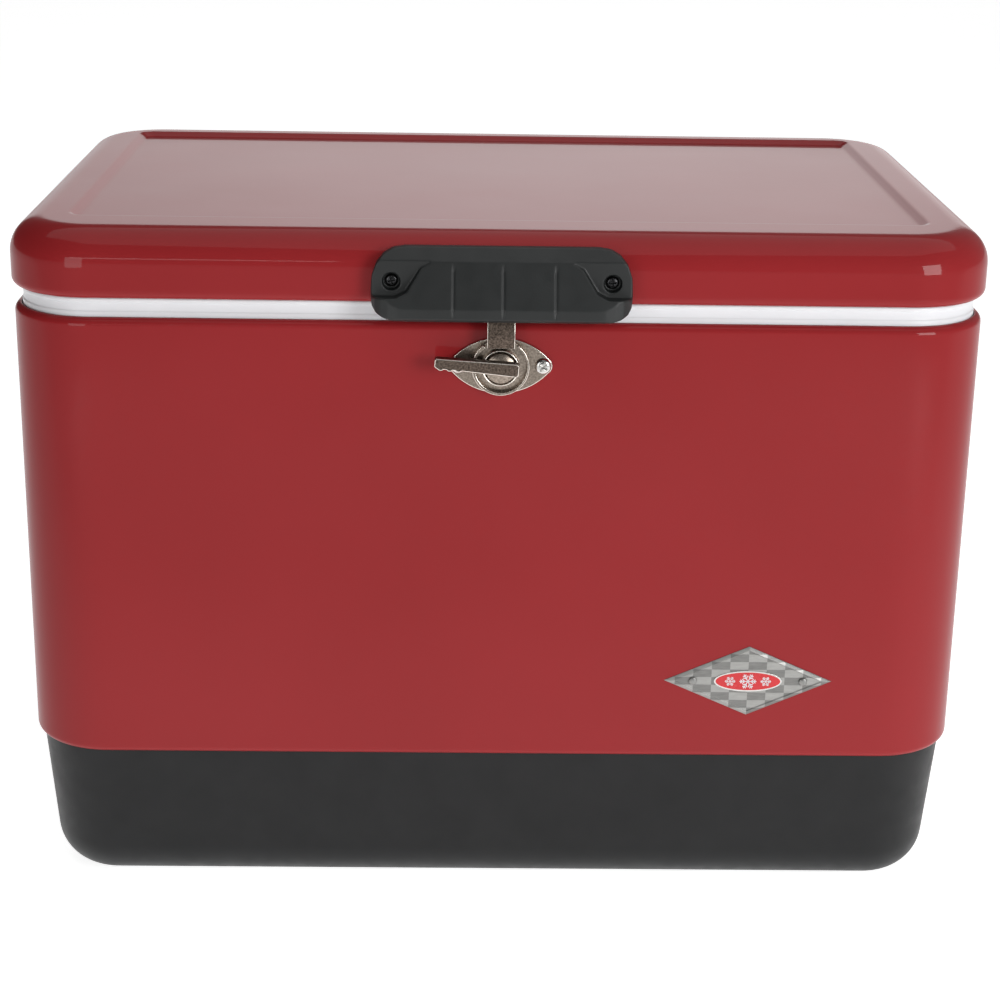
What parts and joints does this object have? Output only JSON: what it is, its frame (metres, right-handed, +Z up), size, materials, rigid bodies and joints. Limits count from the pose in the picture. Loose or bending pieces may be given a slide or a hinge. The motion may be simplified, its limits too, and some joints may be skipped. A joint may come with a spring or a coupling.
{
  "type": "steel-belted cooler chest",
  "caption": "Insulated picnic cooler chest with a red steel belt and hinged lid, black base and grip, turn latch, badge, swinging end handles and a capped drain.",
  "frame": {"origin": "centre of the underside, on the surface that it stands on", "axes": "+X to the right seen from the latch side, +Y from the latch to the hinges, +Z up"},
  "size_m": [0.651, 0.433, 0.443],
  "materials": {
    "red_enamel": "gloss",
    "white_plastic": "satin",
    "black_plastic": "satin",
    "nickel_steel": "polished",
    "black_steel": "satin",
    "badge_steel": "satin",
    "foam": "matte",
    "rubber": "matte"
  },
  "bodies": {
    "body": {"badge_plate": "badge_steel", "badge_rivet_left": "badge_steel", "badge_rivet_right": "badge_steel", "base_tray": "black_plastic", "body_belt": "red_enamel", "body_foam": "foam", "drain_nut": "white_plastic", "drain_tube": "white_plastic", "drain_washer": "rubber", "handle_bracket_left_back": "nickel_steel", "handle_bracket_left_front": "nickel_steel", "handle_bracket_right_back": "nickel_steel", "handle_bracket_right_front": "nickel_steel", "handle_screw_left_back_lower": "nickel_steel", "handle_screw_left_back_upper": "nickel_steel", "handle_screw_left_front_lower": "nickel_steel", "handle_screw_left_front_upper": "nickel_steel", "handle_screw_right_back_lower": "nickel_steel", "handle_screw_right_back_upper": "nickel_steel", "handle_screw_right_front_lower": "nickel_steel", "handle_screw_right_front_upper": "nickel_steel", "hinge_body_leaf_left": "nickel_steel", "hinge_body_leaf_right": "nickel_steel", "hinge_body_screw_left_a": "nickel_steel", "hinge_body_screw_left_b": "nickel_steel", "hinge_body_screw_right_a": "nickel_steel", "hinge_body_screw_right_b": "nickel_steel", "hinge_pin_left": "nickel_steel", "hinge_pin_right": "nickel_steel", "latch_plate": "nickel_steel", "latch_screw_left": "nickel_steel", "latch_screw_right": "nickel_steel", "tub_liner": "white_plastic"},
    "lid": {"hinge_lid_leaf_left": "nickel_steel", "hinge_lid_leaf_right": "nickel_steel", "hinge_lid_screw_left_a": "nickel_steel", "hinge_lid_screw_left_b": "nickel_steel", "hinge_lid_screw_right_a": "nickel_steel", "hinge_lid_screw_right_b": "nickel_steel", "latch_strike": "nickel_steel", "lid_foam": "foam", "lid_gasket": "rubber", "lid_grip": "black_plastic", "lid_grip_screw_left": "black_steel", "lid_grip_screw_right": "black_steel", "lid_liner": "white_plastic", "lid_skin": "red_enamel", "strike_rivet_left": "nickel_steel", "strike_rivet_right": "nickel_steel"},
    "latch": {"latch_cam": "nickel_steel", "latch_lever": "nickel_steel", "latch_pivot": "nickel_steel"},
    "handle_left": {"handle_bail_left": "nickel_steel", "handle_grip_left": "black_plastic"},
    "handle_right": {"handle_bail_right": "nickel_steel", "handle_grip_right": "black_plastic"},
    "cap": {"drain_cap": "white_plastic", "drain_cap_seal": "rubber"}
  },
  "joints": [
    {"name": "lid_hinge", "type": "hinge", "parent": "body", "child": "lid", "pos_m": [0, 0.206, 0.395], "axis": [-1, 0, 0], "range_deg": [0, 105]},
    {"name": "latch_turn", "type": "hinge", "parent": "body", "child": "latch", "pos_m": [0, -0.2005, 0.3627], "axis": [0, -1, 0], "range_deg": [0, 180]},
    {"name": "handle_swing_left", "type": "hinge", "parent": "body", "child": "handle_left", "pos_m": [-0.314, 0, 0.318], "axis": [0, 1, 0], "range_deg": [0, 170]},
    {"name": "handle_swing_right", "type": "hinge", "parent": "body", "child": "handle_right", "pos_m": [0.314, 0, 0.318], "axis": [0, -1, 0], "range_deg": [0, 170]},
    {"name": "cap_pull", "type": "slide", "parent": "body", "child": "cap", "axis": [1, 0, 0], "range_m": [0, 0.016]}
  ]
}
